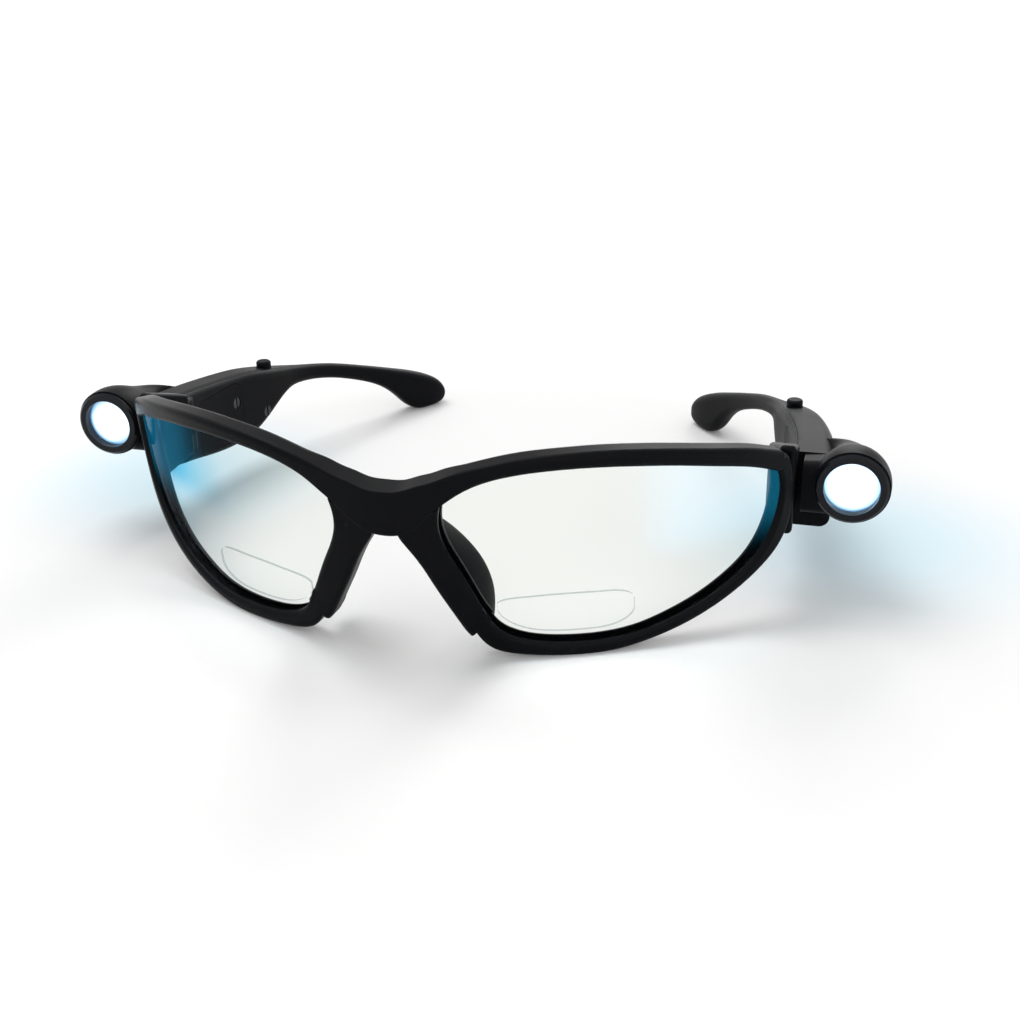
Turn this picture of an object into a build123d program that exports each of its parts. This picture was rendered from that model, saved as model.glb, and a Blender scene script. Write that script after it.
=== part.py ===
from build123d import *
import math
import os

# Lighted magnifier glasses, standing on a table with the temples open.
# Left and right are the wearer's. +X is the wearer's left, +Y points back, +Z is up.

# Front: half its length along the curve, its height, and how it wraps and leans
front_half_arc = 82.0
front_height = 42.5
wrap_radius = 83.4
lean_share = 0.147
lean_level_share = 0.4
frame_depth = 4.2
bridge_depth = 5.0
leg_depth = 4.6
frame_corner = 1.1
bridge_corner = 0.4
table_size = 400.0
overrun = 5.0
hair = 0.1

# Lenses
lens_thickness = 2.0
lens_setback = 1.1
groove_depth = 1.0
groove_clearance = 0.1
segment_rise = 0.5

# End blocks of the front, which carry the hinges
block_front_top = 35.4
block_front_bottom = 38.2
block_back = 47.0
block_out = 68.9
block_in = 62.6
block_in_front = 66.0
block_top_front = 35.2
block_top_back = 31.2
block_bottom_back = 17.8
block_bottom_front = 15.2
block_corner = 1.0

# Hinges
hinge_x = 65.9
hinge_y = 49.0
hinge_low = 17.8
hinge_height = 11.4
knuckle_radius = 2.2
knuckle_gap = 0.1
arm_width = 3.3
screw_radius = 0.8
screw_fit = 0.05
hinge_gap = 0.3
screw_head_radius = 1.5
screw_head_height = 0.7
slot_width = 0.5
slot_depth = 0.35

# Nose pads
pad_thickness = 2.6
pad_slender_share = 0.7
pad_corner_share = 0.3
pad_gap = 0.1
pad_sink = 0.8
peg_radius = 0.7
peg_length = 3.0
peg_clearance = 0.1
peg_root = 1.5

# Temples
temple_front_x = 71.1
temple_front_y = 47.3
temple_length = 92.2
tip_inset = 35.1
bend_power = 2.1
temple_thickness = 9.0
wall = 1.3
cover_thickness = 1.5
cover_start = 4.4
cover_end = 45.2
cavity_start = 5.6
cavity_end = 43.6
cavity_corner = 0.8
part_clearance = 0.1

# Lamp barrel at the outer front corner of each temple
lamp_x = 79.5
lamp_z = 25.6
barrel_front = 40.4
barrel_radius = 7.3
barrel_bore = 6.5
barrel_depth = 4.2
bore_end = 9.2
seat_radius = 3.3
pocket_radius = 2.2
pocket_depth = 13.8
fairing_length = 22.0
web_front = 41.6
web_back = 50.0
web_in = 70.0
web_top_in = 29.2
web_top_out = 29.8
web_bottom = 18.5
web_corner = 2.2
duct_radius = 2.1

# Lamp parts
bezel_flange_radius = 7.0
bezel_flange = 0.9
bezel_sleeve_radius = 6.4
bezel_sleeve_bore = 5.8
bezel_lip_radius = 5.3
bezel_length = 4.0
lamp_lens_radius = 5.7
lamp_lens_edge = 1.2
lamp_dome = 1.1
reflector_depth = 4.8
reflector_wall = 0.5
led_radius = 2.5
led_flange_radius = 2.9
led_flange = 1.0
led_body = 2.4
led_leg_radius = 0.3
led_leg_pitch = 2.54
led_leg_length = 1.6
lamp_gap = 0.1

# Cells, contacts, board
cell_along = 16.0
cell_z = 18.7
cell_radius = 6.25
cell_height = 2.0
cell_edge = 0.25
cell_gap = 0.05
plate_gap = 0.4
contact_radius = 5.0
contact_sheet = 0.3
contact_tip_radius = 1.6
contact_tab = 0.9
board_along = 33.1
board_length = 11.0
board_height = 6.4
board_sheet = 0.9
board_z = 20.3
board_gap = 0.5
wire_radius = 0.4
wire_room = 0.15
wire_bend = 1.6
wire_spacing = 1.2

# Battery door, its screw and the cover screws
door_along = 18.2
door_length = 17.8
door_height = 13.4
door_corner = 2.5
door_z = 18.7
door_gap = 0.15
door_screw_along = 25.0
door_screw_z = 20.6
small_screw_radius = 0.7
small_head_radius = 1.3
small_head_height = 0.6
small_screw_length = 5.0
boss_radius = 1.7
cover_screw_front_z = 23.4
cover_screw_front_inset = 2.0
cover_screw_back_along = 36.4
cover_screw_back_z = 14.9

# Switch
button_along = 40.7
button_radius = 1.8
button_proud = 1.8
button_round = 0.6
button_flange_radius = 2.2
button_flange = 0.7
button_clearance = 0.15
button_drop = 0.9
button_travel = 0.8
switch_size = 3.8
switch_height = 2.6
switch_plunger_radius = 1.0
switch_plunger = 0.6

# Brow, from the bridge outwards: share of the half arc, then bottom and top as shares of the front's height
brow_shares = [
    (0.0, 0.605, 0.82),
    (0.04, 0.617, 0.827),
    (0.075, 0.66, 0.852),
    (0.11, 0.73, 0.875),
    (0.14, 0.78, 0.9),
    (0.185, 0.835, 0.93),
    (0.225, 0.872, 0.951),
    (0.305, 0.911, 0.984),
    (0.39, 0.926, 0.998),
    (0.48, 0.925, 1.0),
    (0.57, 0.91, 0.988),
    (0.66, 0.885, 0.965),
    (0.755, 0.847, 0.932),
    (0.83, 0.813, 0.903),
    (0.89, 0.776, 0.873),
    (0.95, 0.73, 0.835),
]
# Rim below the lens and up its outer side: arc and height of the outer edge, then of the inner edge
rim_shares = [
    (0.178, 0.165, 0.205, 0.258),
    (0.194, 0.106, 0.219, 0.2),
    (0.223, 0.045, 0.243, 0.137),
    (0.283, 0.01, 0.296, 0.088),
    (0.378, -0.006, 0.378, 0.063),
    (0.476, -0.008, 0.472, 0.058),
    (0.561, 0.014, 0.559, 0.073),
    (0.65, 0.056, 0.641, 0.114),
    (0.735, 0.111, 0.725, 0.17),
    (0.815, 0.178, 0.802, 0.238),
    (0.89, 0.257, 0.868, 0.316),
    (0.95, 0.346, 0.916, 0.415),
    (0.982, 0.445, 0.943, 0.524),
    (0.993, 0.565, 0.953, 0.634),
    (0.99, 0.7, 0.943, 0.735),
    (0.968, 0.81, 0.91, 0.784),
]
# Legs beside the nose, from the bridge down: arc and height of the nose side, then of the lens side
leg_shares = [
    (0.03, 0.65, 0.128, 0.755),
    (0.039, 0.574, 0.122, 0.66),
    (0.065, 0.496, 0.13, 0.576),
    (0.095, 0.382, 0.154, 0.472),
    (0.124, 0.273, 0.178, 0.376),
    (0.154, 0.165, 0.202, 0.271),
    (0.174, 0.108, 0.224, 0.198),
]
# Lens opening: arc, bottom, top
opening_shares = [
    (0.122, 0.64, 0.742),
    (0.14, 0.537, 0.786),
    (0.177, 0.388, 0.833),
    (0.207, 0.259, 0.864),
    (0.238, 0.152, 0.882),
    (0.305, 0.085, 0.91),
    (0.39, 0.062, 0.926),
    (0.476, 0.058, 0.926),
    (0.567, 0.076, 0.91),
    (0.659, 0.124, 0.888),
    (0.756, 0.195, 0.85),
    (0.83, 0.268, 0.819),
    (0.878, 0.334, 0.797),
    (0.915, 0.412, 0.777),
    (0.94, 0.51, 0.742),
    (0.951, 0.6, 0.69),
]
# Magnifier segment: arc, bottom, top
segment_shares = [
    (0.236, 0.2, 0.238),
    (0.254, 0.155, 0.258),
    (0.3, 0.108, 0.27),
    (0.366, 0.087, 0.278),
    (0.463, 0.083, 0.277),
    (0.524, 0.1, 0.27),
    (0.554, 0.132, 0.25),
    (0.565, 0.168, 0.218),
]
# Nose pad, from the top down: height, arc where it leaves the leg, how far it reaches back, how far it splays out
pad_shares = [
    (0.64, 0.068, 0.055, -0.006),
    (0.588, 0.075, 0.09, -0.01),
    (0.529, 0.087, 0.108, 0.01),
    (0.44, 0.11, 0.112, 0.03),
    (0.35, 0.132, 0.11, 0.042),
    (0.23, 0.162, 0.104, 0.034),
    (0.13, 0.186, 0.09, 0.012),
    (0.075, 0.2, 0.05, 0.0),
]
pad_peg_shares = [0.5, 0.27]
# Temple: share of its length, bottom, top, thickness as a share of the full one, rounding as a share of thickness
temple_shares = [
    (0.0, 0.325, 0.695, 1.0, 0.24),
    (0.05, 0.302, 0.684, 1.0, 0.26),
    (0.14, 0.262, 0.664, 1.0, 0.28),
    (0.215, 0.236, 0.645, 1.0, 0.28),
    (0.28, 0.226, 0.63, 1.0, 0.3),
    (0.35, 0.244, 0.611, 0.98, 0.3),
    (0.414, 0.305, 0.584, 0.93, 0.3),
    (0.475, 0.378, 0.552, 0.78, 0.3),
    (0.518, 0.407, 0.53, 0.6, 0.34),
    (0.562, 0.407, 0.508, 0.47, 0.4),
    (0.66, 0.368, 0.458, 0.38, 0.42),
    (0.745, 0.3, 0.398, 0.38, 0.42),
    (0.822, 0.208, 0.337, 0.45, 0.42),
    (0.865, 0.118, 0.301, 0.52, 0.42),
    (0.898, 0.034, 0.273, 0.58, 0.42),
    (0.925, 0.0, 0.247, 0.62, 0.42),
    (0.957, -0.004, 0.21, 0.62, 0.42),
    (0.984, 0.006, 0.164, 0.54, 0.42),
    (1.0, 0.045, 0.105, 0.36, 0.42),
]
# Fairing behind the lamp: share of its length, of the barrel's radius, and of the way in to the temple's middle
fairing_shares = [
    (0.0, 1.0, 0.0),
    (0.16, 1.0, 0.0),
    (0.3, 0.9, 0.02),
    (0.45, 0.73, 0.06),
    (0.62, 0.58, 0.12),
    (0.8, 0.44, 0.45),
    (1.0, 0.28, 0.88),
]


def front_point(arc, height):
    turn = arc / wrap_radius
    lean = lean_share * (height - lean_level_share * front_height)
    x = wrap_radius * math.sin(turn)
    return Vector(x, wrap_radius * (1 - math.cos(turn)) - lean, height)


def front_inward(arc):
    turn = arc / wrap_radius
    return Vector(-math.sin(turn), math.cos(turn), lean_share * math.cos(turn)).normalized()


def front_section(low, high, depth, corner, setback=0):
    """A rounded bar section across the front, from one edge to the other and back by its depth."""
    a, b = front_point(*low), front_point(*high)
    across = b - a
    back = front_inward((low[0] + high[0]) / 2)
    centre = (a + b) / 2 + back * (setback + depth / 2)
    plane = Plane(origin=centre, x_dir=across, z_dir=across.cross(back))
    if corner:
        return plane * RectangleRounded(across.length, depth, corner)
    return plane * Rectangle(across.length, depth)


def slice_of(row):
    arc, low, high = row
    s = arc * front_half_arc
    return (s, low * front_height), (s, high * front_height)


def brow():
    rows = [(-arc, low, high) for arc, low, high in reversed(brow_shares[1:])] + brow_shares
    last = brow_shares[4][0]
    sections = []
    for row in rows:
        near = max(0, 1 - abs(row[0]) / last)
        depth = frame_depth + (bridge_depth - frame_depth) * near
        corner = bridge_corner if abs(row[0]) <= last else frame_corner
        sections.append(front_section(*slice_of(row), depth, corner))
    return loft(sections)


def strip(rows, depth):
    """A bar of the front that starts crisp, inside what carries it, and rounds off along the way."""
    sections = []
    for n, (arc, height, inner_arc, inner_height) in enumerate(rows):
        outer = (arc * front_half_arc, height * front_height)
        inner = (inner_arc * front_half_arc, inner_height * front_height)
        corner = bridge_corner + (frame_corner - bridge_corner) * min(1, n / 3)
        sections.append(front_section(outer, inner, depth, corner))
    return loft(sections)


def end_block():
    """The wedge behind the rim's outer end that the temple shuts against."""
    side = make_face(
        Polyline(
            (0, block_front_bottom, block_bottom_front),
            (0, block_back, block_bottom_back),
            (0, block_back, block_top_back),
            (0, block_front_top, block_top_front),
            close=True,
        )
    )
    slab = extrude(side, block_out, dir=(1, 0, 0))
    plan = make_face(
        Polyline(
            (block_in_front, block_front_top, 0),
            (block_out, block_front_top, 0),
            (block_out, block_back, 0),
            (block_in, block_back, 0),
            close=True,
        )
    )
    block = slab & extrude(plan, front_height, dir=(0, 0, 1))
    return fillet(block.edges(), block_corner)


def column(radius, low, high, x=hinge_x, y=hinge_y):
    return Pos(x, y, low) * Cylinder(radius, high - low, align=(Align.CENTER, Align.CENTER, Align.MIN))


def knuckle_levels():
    third = hinge_height / 3
    return [hinge_low + third * n for n in range(4)]


def hinge_arm(low, high):
    """A knuckle of the front with the arm that carries it back from the end block."""
    arm = Pos(hinge_x - knuckle_radius, block_back - knuckle_radius, low) * Box(
        arm_width,
        hinge_y - block_back + knuckle_radius,
        high - low,
        align=(Align.MIN, Align.MIN, Align.MIN),
    )
    return arm + column(knuckle_radius, low, high)


def hinge_carved(part):
    a, b, c, d = knuckle_levels()
    part = part - column(knuckle_radius + hinge_gap, b, c)
    part = part + hinge_arm(a, b - knuckle_gap / 2) + hinge_arm(c + knuckle_gap / 2, d)
    part = part - column(screw_radius + screw_fit, a - overrun, d + overrun)
    return part - column(screw_head_radius + screw_fit, d - screw_head_height, d + overrun)


def hinge_screw():
    a, _, _, d = knuckle_levels()
    screw = column(screw_radius, a, d) + column(screw_head_radius, d - screw_head_height + hair, d)
    slot = Pos(hinge_x, hinge_y, d) * Box(screw_head_radius * 2 + overrun, slot_width, slot_depth * 2)
    return screw - slot


def pad_row(row):
    height, arc, reach, splay = row
    z = height * front_height
    seat = front_point(arc * front_half_arc, z) + front_inward(arc * front_half_arc) * (leg_depth + pad_gap)
    end = seat + Vector(splay * front_half_arc, reach * front_half_arc, 0)
    return seat - (end - seat).normalized() * pad_sink, end


def pad_rows_at(height):
    """The pad's row at a height between two listed ones."""
    for upper, lower in zip(pad_shares, pad_shares[1:]):
        if upper[0] >= height >= lower[0]:
            t = (upper[0] - height) / (upper[0] - lower[0])
            return pad_row([u + (v - u) * t for u, v in zip(upper, lower)])


def pad_pegs(radius):
    pegs = []
    for share in pad_peg_shares:
        start, end = pad_rows_at(share)
        along = (end - start).normalized()
        foot = start - along * (peg_root - pad_sink)
        pegs.append(Solid.make_cylinder(radius, peg_root + peg_length, Plane(origin=foot, z_dir=along)))
    return pegs


def nose_pad():
    sections = []
    for row in pad_shares:
        start, end = pad_row(row)
        plane = Plane(origin=(start + end) / 2, x_dir=end - start, z_dir=(0, 0, 1))
        length = (end - start).length
        thickness = min(pad_thickness, length * pad_slender_share)
        sections.append(plane * RectangleRounded(length, thickness, thickness * pad_corner_share))
    pad = loft(sections) - strip(leg_shares, leg_depth + pad_gap) - strip(rim_shares, frame_depth + pad_gap)
    for hole in pad_pegs(peg_radius + peg_clearance):
        pad = pad - hole
    return pad


def grown(rows, margin):
    """Rows of an opening, let out by a margin square to its edge."""
    arcs = [row[0] * front_half_arc for row in rows]
    out = []
    for n, row in enumerate(rows):
        lo, hi = max(0, n - 1), min(len(rows) - 1, n + 1)
        run = arcs[hi] - arcs[lo]
        edges = []
        for side, sign in ((1, -1), (2, 1)):
            slope = (rows[hi][side] - rows[lo][side]) * front_height / run
            edges.append(row[side] * front_height + sign * margin * math.hypot(1, slope))
        out.append((arcs[n], edges[0], edges[1]))
    ends = []
    for n, sign in ((0, -1), (-1, 1)):
        arc, low, high = out[n]
        middle, half = (low + high) / 2, (high - low) / 4
        ends.append((arc + sign * margin, middle - half, middle + half))
    return [ends[0]] + out + [ends[1]]


def lens_body(margin, setback, thickness):
    sections = []
    for arc, low, high in grown(opening_shares, margin):
        sections.append(front_section((arc, low), (arc, high), thickness, 0, setback))
    return loft(sections)


def lens():
    body = lens_body(groove_depth, lens_setback, lens_thickness)
    sections = []
    for row in segment_shares:
        sections.append(
            front_section(*slice_of(row), lens_thickness / 2 + segment_rise, 0, lens_setback + lens_thickness / 2)
        )
    return body + loft(sections)


def lens_room():
    thickness = lens_thickness + groove_clearance * 2
    return lens_body(groove_depth + groove_clearance, lens_setback - groove_clearance, thickness)


def front_frame():
    side = strip(rim_shares, frame_depth) + strip(leg_shares, leg_depth)
    side = side + end_block()
    side = hinge_carved(side)
    for peg in pad_pegs(peg_radius):
        side = side + peg
    side = side - lens_room()
    middle = brow() - lens_room()
    middle = middle - mirror(lens_room(), about=Plane.YZ)
    whole = middle + side + mirror(side, about=Plane.YZ)
    return whole - table_slab()


def table_slab():
    return Box(table_size, table_size, overrun, align=(Align.CENTER, Align.CENTER, Align.MAX))


def temple_point(along):
    inset = tip_inset * (along / temple_length) ** bend_power
    return Vector(temple_front_x - inset, temple_front_y + along, 0)


def temple_way(along):
    slope = -bend_power * tip_inset / temple_length * (along / temple_length) ** (bend_power - 1)
    return Vector(slope, 1, 0).normalized()


def temple_row(along):
    """Bottom, top and thickness of the temple at a distance along it, between the listed rows."""
    share = along / temple_length
    for before, after in zip(temple_shares, temple_shares[1:]):
        if before[0] <= share <= after[0]:
            t = (share - before[0]) / (after[0] - before[0])
            row = [a + (b - a) * t for a, b in zip(before, after)]
            return row[1] * front_height, row[2] * front_height, row[3] * temple_thickness


def temple_section(along, low, high, inner, outer, corner):
    """A section square to the temple, between two heights and two offsets from its middle."""
    way = temple_way(along)
    out = way.cross(Vector(0, 0, 1))
    centre = temple_point(along) + out * ((inner + outer) / 2) + Vector(0, 0, (low + high) / 2)
    plane = Plane(origin=centre, x_dir=(0, 0, 1), z_dir=way)
    if corner:
        return plane * RectangleRounded(high - low, outer - inner, corner)
    return plane * Rectangle(high - low, outer - inner)


def temple_body():
    sections = []
    for share, low, high, thick, corner in temple_shares:
        t = thick * temple_thickness
        bottom, top = low * front_height, high * front_height
        rounding = corner * min(t, top - bottom)
        sections.append(temple_section(share * temple_length, bottom, top, -t / 2, t / 2, rounding))
    return loft(sections)


def stations(start, end):
    inside = [row[0] * temple_length for row in temple_shares if start < row[0] * temple_length < end]
    return [start] + inside + [end]


def cover_zone(grow):
    """The slice of the temple nearest the head, as a slab that follows the temple's bend."""
    sections = []
    for along in stations(cover_start - grow, cover_end + grow):
        low, high, thick = temple_row(along)
        face = -thick / 2
        sections.append(
            temple_section(along, low - overrun, high + overrun, face - overrun, face + cover_thickness + grow, 0)
        )
    return loft(sections, ruled=True)


def cavity():
    sections = []
    for along in stations(cavity_start, cavity_end):
        low, high, thick = temple_row(along)
        inner = -thick / 2 + cover_thickness / 2
        sections.append(temple_section(along, low + wall, high - wall, inner, thick / 2 - wall, cavity_corner))
    return loft(sections, ruled=True)


def side_plane(along, height, offset=0):
    """Looks out through the temple's side: x runs back along it, z points away from the head."""
    way = temple_way(along)
    out = way.cross(Vector(0, 0, 1))
    return Plane(origin=temple_point(along) + Vector(0, 0, height) + out * offset, x_dir=way, z_dir=out)


def disc(plane, radius, thickness):
    return extrude(plane * Circle(radius), thickness)


def lamp_plane(y):
    """Square to the lamp, with its normal pointing forwards."""
    return Plane(origin=(lamp_x, y, lamp_z), x_dir=(1, 0, 0), z_dir=(0, -1, 0))


def pod():
    """The lamp barrel, its fairing and the web that joins them to the temple's front."""
    sections = []
    for share, size, inward in fairing_shares:
        y = barrel_front + share * fairing_length
        middle = temple_point(max(0, y - temple_front_y)).X
        x = lamp_x + (middle - lamp_x) * inward
        plane = Plane(origin=(x, y, lamp_z), x_dir=(1, 0, 0), z_dir=(0, 1, 0))
        sections.append(plane * Circle(barrel_radius * size))
    ends = []
    for x, top in ((web_in, web_top_in), (lamp_x, web_top_out)):
        plane = Plane(origin=(x, (web_front + web_back) / 2, (web_bottom + top) / 2), x_dir=(0, 1, 0), z_dir=(1, 0, 0))
        ends.append(plane * RectangleRounded(web_back - web_front, top - web_bottom, web_corner))
    return loft(sections) + loft(ends, ruled=True)


def lamp_cone():
    """The tapered floor of the bore, round the reflector."""
    start = lamp_plane(barrel_front + barrel_depth - hair) * Circle(barrel_bore - hair)
    return loft([start, lamp_plane(barrel_front + bore_end) * Circle(seat_radius)], ruled=True)


def duct():
    """The way for the wires from behind the lamp into the temple."""
    start = Vector(lamp_x, barrel_front + pocket_depth - duct_radius, lamp_z)
    inside = wire_entry(0)
    return Solid.make_cylinder(duct_radius, (inside - start).length, Plane(origin=start, z_dir=inside - start))


def cover_screw_places():
    """Each small screw's place along the temple, its height, and where along the temple its axis is square."""
    front = cover_start + cover_screw_front_inset
    return [
        (front, cover_screw_front_z, front),
        (cover_screw_back_along, cover_screw_back_z, cover_screw_back_along),
    ]


def door_screw_place():
    return door_screw_along, door_screw_z, door_along


def inner_face(along, height, facing, depth=0):
    """A plane on the face that the head sees, sunk into the temple by a depth."""
    thick = temple_row(along)[2]
    face = side_plane(along, height, -thick / 2)
    out = side_plane(facing, height).z_dir
    return Plane(origin=face.origin + out * depth, x_dir=(0, 0, 1), z_dir=out)


def boss(along, height, facing):
    length = temple_row(along)[2] - cover_thickness - wall
    return disc(inner_face(along, height, facing, cover_thickness + part_clearance), boss_radius, length)


def small_screw(along, height, facing):
    face = inner_face(along, height, facing, hair)
    slot = face * Box(small_head_radius * 2 + overrun, slot_width, slot_depth * 2)
    return disc(face, small_head_radius, small_head_height) + disc(face, small_screw_radius, small_screw_length) - slot


def screw_room(along, height, facing):
    """The stepped hole that a small screw drops into, open towards the head."""
    mouth = inner_face(along, height, facing, -overrun)
    depth = overrun + hair + part_clearance
    wide = disc(mouth, small_head_radius + part_clearance, depth + small_head_height)
    return wide + disc(mouth, small_screw_radius + part_clearance, depth + small_screw_length)


def button_axis():
    point = temple_point(button_along)
    return point.X, point.Y, temple_row(button_along)[1]


def switch_button():
    x, y, top = button_axis()
    under = top - wall - button_drop
    stem = column(button_radius, under - button_flange, top + button_proud, x, y)
    stem = fillet(stem.edges().group_by(Axis.Z)[-1], button_round)
    return stem + column(button_flange_radius, under - button_flange, under, x, y)


def switch_body():
    x, y, top = button_axis()
    rest = top - wall - button_drop - button_flange - button_travel - hair
    body = Pos(x, y, rest - switch_plunger) * Box(
        switch_size, switch_size, switch_height, align=(Align.CENTER, Align.CENTER, Align.MAX)
    )
    return body + column(switch_plunger_radius, rest - switch_plunger, rest, x, y)


def temple_shell():
    shell = temple_body() + pod()
    low, high = hinge_low - knuckle_gap - hinge_gap, hinge_low + hinge_height + hinge_gap
    shell = shell - cover_zone(part_clearance)
    room = cavity() - column(knuckle_radius + wall, 0, front_height)
    shell = shell - room
    mouth = lamp_plane(barrel_front - overrun)
    shell = shell - extrude(mouth * Circle(barrel_bore), -barrel_depth - overrun)
    shell = shell - lamp_cone() - extrude(mouth * Circle(pocket_radius), -pocket_depth - overrun)
    shell = shell - duct()
    for place in cover_screw_places() + [door_screw_place()]:
        shell = shell + (boss(*place) & temple_body())
        shell = shell - screw_room(*place)
    x, y, top = button_axis()
    shell = shell - column(button_radius + button_clearance, top - wall * 2, top + overrun, x, y)
    shell = shell - column(knuckle_radius + hinge_gap, low - overrun, high + overrun)
    return shell + temple_knuckle() - table_slab()


def temple_knuckle():
    """The middle knuckle with the tongue that ties it to the temple."""
    _, b, c, _ = knuckle_levels()
    low, high = b + knuckle_gap / 2, c - knuckle_gap / 2
    tongue = Pos(hinge_x, hinge_y - knuckle_radius + hinge_gap, low) * Box(
        temple_front_x - hinge_x,
        knuckle_radius * 2 - hinge_gap,
        high - low,
        align=(Align.MIN, Align.MIN, Align.MIN),
    )
    knuckle = column(knuckle_radius, low, high) + tongue
    return knuckle - column(screw_radius + screw_fit, low - overrun, high + overrun)


def door_prism(grow):
    plane = side_plane(door_along, door_z, -temple_thickness)
    shape = RectangleRounded(door_length + grow * 2, door_height + grow * 2, door_corner + grow)
    return extrude(plane * shape, temple_thickness)


def cover_blank():
    blank = temple_body() & cover_zone(0)
    room = column(knuckle_radius + hinge_gap, 0, front_height)
    return blank - room


def temple_cover():
    cover = cover_blank() - door_prism(door_gap)
    for place in cover_screw_places():
        cover = cover - screw_room(*place)
    return cover


def battery_door():
    return cover_blank() & door_prism(0) - screw_room(*door_screw_place())


def cell(offset):
    body = disc(side_plane(cell_along, cell_z, offset), cell_radius, cell_height)
    return chamfer(body.edges().filter_by(GeomType.CIRCLE), cell_edge)


def outer_cell_offset():
    thick = temple_row(cell_along)[2]
    return thick / 2 - wall - plate_gap - contact_sheet - cell_gap - cell_height


def contact_plate():
    thick = temple_row(cell_along)[2]
    offset = thick / 2 - wall - plate_gap - contact_sheet
    plane = side_plane(cell_along, cell_z, offset)
    tab = plane * Box(
        cell_radius + contact_tab, contact_tip_radius * 2, contact_sheet, align=(Align.MIN, Align.CENTER, Align.MIN)
    )
    return disc(plane, contact_radius, contact_sheet) + tab


def door_contact():
    """A dished spring disc between the door and the inner cell."""
    thick = temple_row(cell_along)[2]
    base = -thick / 2 + cover_thickness + cell_gap
    reach = outer_cell_offset() - cell_height - cell_gap * 2 - base
    plane = side_plane(cell_along, cell_z, base)
    foot = disc(plane, contact_radius, contact_sheet)
    rise = extrude(plane * Circle(contact_tip_radius), reach)
    return foot + rise


def board_offset():
    return temple_row(board_along)[2] / 2 - wall - board_gap - board_sheet


def circuit_board():
    plane = side_plane(board_along, board_z, board_offset())
    return plane * Box(
        board_length, board_height, board_sheet, align=(Align.CENTER, Align.CENTER, Align.MIN)
    )


def lamp_lens():
    """A clear disc, domed to the front."""
    back = barrel_front + bezel_length - reflector_wall - lamp_lens_edge
    plane = lamp_plane(back)
    disc_part = disc(plane, lamp_lens_radius, lamp_lens_edge)
    half = bezel_lip_radius - lamp_gap
    ball_radius = (half**2 + lamp_dome**2) / (2 * lamp_dome)
    front = lamp_plane(back - lamp_lens_edge)
    ball = Pos(lamp_x, back - lamp_lens_edge + ball_radius - lamp_dome, lamp_z) * Sphere(ball_radius)
    return disc_part + (ball & extrude(front * Circle(half), lamp_dome * 2))


def lamp_bezel():
    flange = extrude(lamp_plane(barrel_front - lamp_gap) * Circle(bezel_flange_radius), bezel_flange)
    flange = chamfer(flange.edges().group_by(Axis.Y)[0], bezel_flange / 2)
    sleeve = extrude(lamp_plane(barrel_front - lamp_gap) * Circle(bezel_sleeve_radius), -bezel_length)
    ring = flange + sleeve
    ring = ring - extrude(lamp_plane(barrel_front - overrun) * Circle(bezel_lip_radius), -overrun * 4)
    front = barrel_front + bezel_length - reflector_wall - lamp_lens_edge * 2 - lamp_gap
    return ring - extrude(lamp_plane(front) * Circle(bezel_sleeve_bore), -overrun * 2)


def reflector():
    front = barrel_front + bezel_length - reflector_wall - lamp_lens_edge + lamp_gap
    wide, narrow = bezel_sleeve_bore - lamp_gap, led_flange_radius + reflector_wall
    cup = loft(
        [
            lamp_plane(front) * Circle(wide),
            lamp_plane(front + reflector_depth) * Circle(narrow),
        ],
        ruled=True,
    )
    hollow = loft(
        [
            lamp_plane(front - hair) * Circle(wide - reflector_wall),
            lamp_plane(front + reflector_depth + hair) * Circle(led_radius + lamp_gap),
        ],
        ruled=True,
    )
    return cup - hollow


def led_base():
    front = barrel_front + bezel_length - reflector_wall - lamp_lens_edge + lamp_gap
    return front + reflector_depth + lamp_gap


def led():
    base = led_base()
    body = disc(lamp_plane(base), led_radius, led_body)
    body = body + Pos(lamp_x, base - led_body, lamp_z) * Sphere(led_radius)
    body = body + disc(lamp_plane(base + led_flange), led_flange_radius, led_flange)
    for side in (-1, 1):
        x = lamp_x + side * led_leg_pitch / 2
        leg = Plane(origin=(x, base + led_flange, lamp_z), z_dir=(0, 1, 0))
        body = body + Solid.make_cylinder(led_leg_radius, led_leg_length, leg)
    return body


def wire_entry(offset):
    """Where a wire comes into the temple, above the cells."""
    roof = temple_row(cell_along)[1] - wall - wire_radius - wire_room
    return side_plane(cell_along - cell_radius, roof, offset).origin


def wire(side):
    """One insulated wire from the back of the lamp over the cells to the board."""
    x = lamp_x + side * led_leg_pitch / 2
    back = led_base() + led_flange + led_leg_length
    offset = side * wire_spacing / 2
    past_boss = door_screw_along + boss_radius
    roof = temple_row(past_boss)[1] - wall - wire_radius - wire_room
    over = side_plane(past_boss, roof, offset).origin
    face = board_offset() - wire_radius - cell_gap
    end = side_plane(board_along - board_length / 4, board_z + side * wire_spacing, face).origin
    return FilletPolyline(
        (x, back, lamp_z),
        (x, back + wire_bend * 2, lamp_z),
        wire_entry(offset),
        over,
        end,
        radius=wire_bend,
    )


def led_wires():
    wires = []
    for side in (-1, 1):
        path = wire(side)
        start = Plane(origin=path @ 0, z_dir=path % 0)
        wires.append(sweep(start * Circle(wire_radius), path))
    return Compound(children=wires)


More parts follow.
